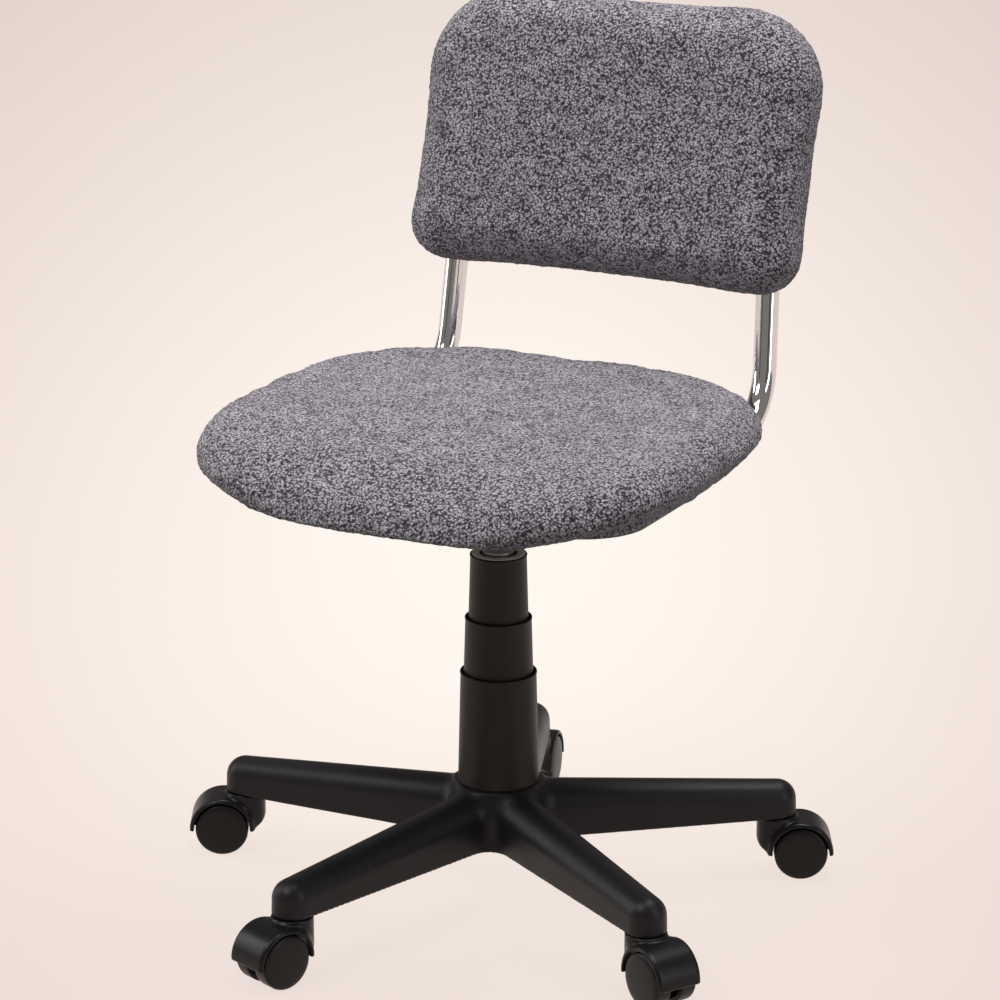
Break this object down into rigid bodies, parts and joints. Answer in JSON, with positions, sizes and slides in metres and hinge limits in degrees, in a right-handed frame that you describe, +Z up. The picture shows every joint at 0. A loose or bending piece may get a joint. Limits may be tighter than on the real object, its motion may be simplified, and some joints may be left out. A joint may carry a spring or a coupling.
{
  "type": "swivel task chair",
  "caption": "Armless swivel task chair with an upholstered seat and low back on chrome posts, a telescopic lift column and a star base on twin-wheel casters.",
  "frame": {"origin": "on the floor, on the axis of the lift column", "axes": "+Z up, the sitter faces -Y, +X is the sitter's left"},
  "size_m": [0.5983, 0.626, 0.8036],
  "materials": {
    "nylon_black": "fine grained moulded nylon, satin on the ridges",
    "caster_black": "smooth moulded plastic",
    "wheel_black": "moulded nylon, lightly scuffed tread",
    "cover_brown": "matte moulded plastic",
    "chrome": "polished chrome plate",
    "steel_black": "black powder coat",
    "steel_bright": "zinc plated steel",
    "rubber_black": "moulded rubber",
    "bush_white": "acetal",
    "button_red": "moulded plastic",
    "boucle": "curly boucle fleece, grey with a violet cast",
    "dust_cloth": "thin non-woven cloth",
    "plywood": "raw plywood"
  },
  "bodies": {
    "base": {"base_star": "nylon_black", "caster_stems": "steel_bright", "stem_rings": "steel_bright", "gas_outer_tube": "steel_black", "gas_guide_bush": "bush_white", "thrust_bearing": "steel_bright", "cover_lower": "cover_brown"},
    "rod": {"piston_rod": "steel_bright", "piston_head": "steel_bright", "bearing_race": "steel_bright", "rod_bumper": "rubber_black", "rod_washer": "steel_bright", "rod_clip": "steel_bright"},
    "cover_mid": {"cover_middle": "cover_brown"},
    "seat": {"piston_tube": "steel_bright", "tube_gland": "steel_bright", "cover_upper": "cover_brown", "seat_plate": "steel_black", "plate_screws": "steel_bright", "lever_pin": "steel_bright", "seat_board": "plywood", "seat_nuts": "steel_bright", "dust_cover": "dust_cloth", "seat_cushion": "boucle", "back_post_left": "chrome", "back_post_right": "chrome", "post_bolts": "steel_bright", "post_nuts": "steel_bright", "post_plugs": "rubber_black", "back_board": "plywood", "back_straps": "steel_bright", "strap_screws": "steel_bright", "back_cushion": "boucle", "back_rear_pad": "boucle"},
    "lever": {"lift_lever": "steel_bright", "lever_handle": "caster_black"},
    "button": {"release_button": "button_red"},
    "caster_1": {"caster_body_1": "caster_black", "axle_1": "steel_bright"},
    "wheel_1_left": {"wheel_1_left": "wheel_black"},
    "wheel_1_right": {"wheel_1_right": "wheel_black"},
    "caster_2": {"caster_body_2": "caster_black", "axle_2": "steel_bright"},
    "wheel_2_left": {"wheel_2_left": "wheel_black"},
    "wheel_2_right": {"wheel_2_right": "wheel_black"},
    "caster_3": {"caster_body_3": "caster_black", "axle_3": "steel_bright"},
    "wheel_3_left": {"wheel_3_left": "wheel_black"},
    "wheel_3_right": {"wheel_3_right": "wheel_black"},
    "caster_4": {"caster_body_4": "caster_black", "axle_4": "steel_bright"},
    "wheel_4_left": {"wheel_4_left": "wheel_black"},
    "wheel_4_right": {"wheel_4_right": "wheel_black"},
    "caster_5": {"caster_body_5": "caster_black", "axle_5": "steel_bright"},
    "wheel_5_left": {"wheel_5_left": "wheel_black"},
    "wheel_5_right": {"wheel_5_right": "wheel_black"}
  },
  "joints": [
    {"name": "seat_swivel", "type": "hinge", "parent": "base", "child": "rod", "pos_m": [0, 0, 0.06], "axis": [0, 0, 1], "continuous": true},
    {"name": "seat_lift", "type": "slide", "parent": "rod", "child": "seat", "axis": [0, 0, 1], "range_m": [-0.045, 0.055]},
    {"name": "cover_follow", "type": "slide", "parent": "base", "child": "cover_mid", "axis": [0, 0, 1], "range_m": [-0.0225, 0.0275]},
    {"name": "lever_lift", "type": "hinge", "parent": "seat", "child": "lever", "pos_m": [-0.025, 0, 0.38], "axis": [0, 1, 0], "range_deg": [0, 5], "stiffness_Nm_per_rad": 3},
    {"name": "button_press", "type": "slide", "parent": "seat", "child": "button", "axis": [0, 0, 1], "range_m": [-0.0025, 0]},
    {"name": "caster_1_swivel", "type": "hinge", "parent": "base", "child": "caster_1", "pos_m": [0.20882, 0.16315, 0.05], "axis": [0, 0, 1], "continuous": true},
    {"name": "wheel_1_left_roll", "type": "hinge", "parent": "caster_1", "child": "wheel_1_left", "pos_m": [0.22887, 0.17336, 0.025], "axis": [-0.454, 0.891, 0], "continuous": true},
    {"name": "wheel_1_right_roll", "type": "hinge", "parent": "caster_1", "child": "wheel_1_right", "pos_m": [0.22887, 0.17336, 0.025], "axis": [-0.454, 0.891, 0], "continuous": true},
    {"name": "caster_2_swivel", "type": "hinge", "parent": "base", "child": "caster_2", "pos_m": [0.2197, -0.14819, 0.05], "axis": [0, 0, 1], "continuous": true},
    {"name": "wheel_2_left_roll", "type": "hinge", "parent": "caster_2", "child": "wheel_2_left", "pos_m": [0.23918, -0.15944, 0.025], "axis": [0.5, 0.866, 0], "continuous": true},
    {"name": "wheel_2_right_roll", "type": "hinge", "parent": "caster_2", "child": "wheel_2_right", "pos_m": [0.23918, -0.15944, 0.025], "axis": [0.5, 0.866, 0], "continuous": true},
    {"name": "caster_3_swivel", "type": "hinge", "parent": "base", "child": "caster_3", "pos_m": [-0.07304, -0.25473, 0.05], "axis": [0, 0, 1], "continuous": true},
    {"name": "wheel_3_left_roll", "type": "hinge", "parent": "caster_3", "child": "wheel_3_left", "pos_m": [-0.08147, -0.2756, 0.025], "axis": [0.9272, -0.3746, 0], "continuous": true},
    {"name": "wheel_3_right_roll", "type": "hinge", "parent": "caster_3", "child": "wheel_3_right", "pos_m": [-0.08147, -0.2756, 0.025], "axis": [0.9272, -0.3746, 0], "continuous": true},
    {"name": "caster_4_swivel", "type": "hinge", "parent": "base", "child": "caster_4", "pos_m": [-0.26484, -0.00925, 0.05], "axis": [0, 0, 1], "continuous": true},
    {"name": "wheel_4_left_roll", "type": "hinge", "parent": "caster_4", "child": "wheel_4_left", "pos_m": [-0.28489, -0.01946, 0.025], "axis": [0.454, -0.891, 0], "continuous": true},
    {"name": "wheel_4_right_roll", "type": "hinge", "parent": "caster_4", "child": "wheel_4_right", "pos_m": [-0.28489, -0.01946, 0.025], "axis": [0.454, -0.891, 0], "continuous": true},
    {"name": "caster_5_swivel", "type": "hinge", "parent": "base", "child": "caster_5", "pos_m": [-0.09063, 0.24902, 0.05], "axis": [0, 0, 1], "continuous": true},
    {"name": "wheel_5_left_roll", "type": "hinge", "parent": "caster_5", "child": "wheel_5_left", "pos_m": [-0.09608, 0.27085, 0.025], "axis": [-0.9703, -0.2419, 0], "continuous": true},
    {"name": "wheel_5_right_roll", "type": "hinge", "parent": "caster_5", "child": "wheel_5_right", "pos_m": [-0.09608, 0.27085, 0.025], "axis": [-0.9703, -0.2419, 0], "continuous": true}
  ],
  "couplings": [
    {"joint": "cover_follow", "follows": "seat_lift", "ratio": 0.5},
    {"joint": "button_press", "follows": "lever_lift", "m_per_rad": -0.025}
  ]
}
